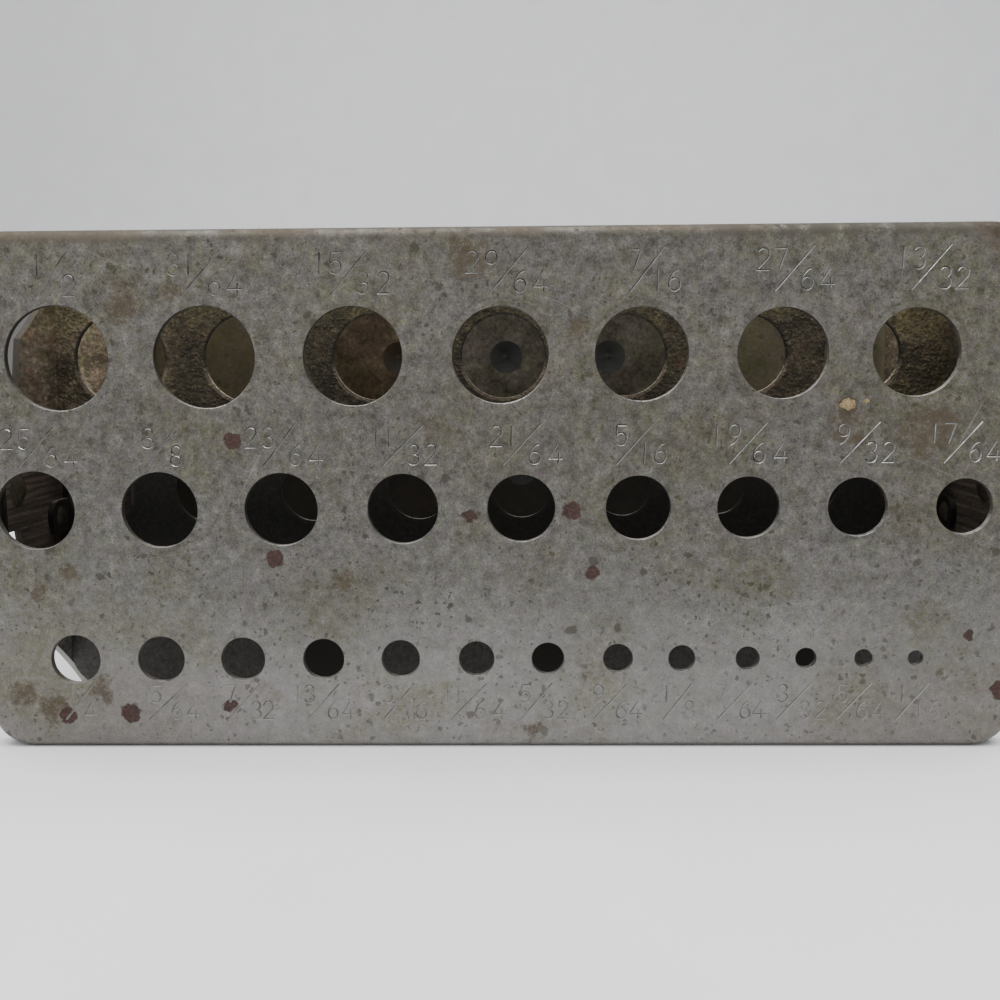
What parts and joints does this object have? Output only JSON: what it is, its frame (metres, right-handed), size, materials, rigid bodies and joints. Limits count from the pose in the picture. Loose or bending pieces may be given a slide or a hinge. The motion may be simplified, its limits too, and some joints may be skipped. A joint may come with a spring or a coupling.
{
  "type": "drill bit index",
  "caption": "Sheet steel drill index: a drawn cover with rows of graded holes above a pierced guide plate, held by flared end plates on a flat base and riveted together.",
  "frame": {"origin": "middle of the whole stand's underside, with the stand laid on one long side as pictured", "axes": "+X along the cover to the right, +Y from the pierced face back to the base, +Z up across the rows; in use the stand is turned so that -Y is up"},
  "size_m": [0.1414, 0.0572, 0.0698],
  "materials": {
    "cover_steel": "aged grey sheet steel with rust spots",
    "inner_steel": "dark dusty sheet steel",
    "base_steel": "dark dusty sheet steel",
    "rivet_steel": "dull steel"
  },
  "bodies": {
    "root": {"top_cover": "cover_steel", "guide_plate": "inner_steel", "left_end_plate": "inner_steel", "right_end_plate": "inner_steel", "base_plate": "base_steel", "cover_rivets": "rivet_steel", "guide_rivets": "rivet_steel", "base_rivets": "rivet_steel"}
  },
  "joints": []
}
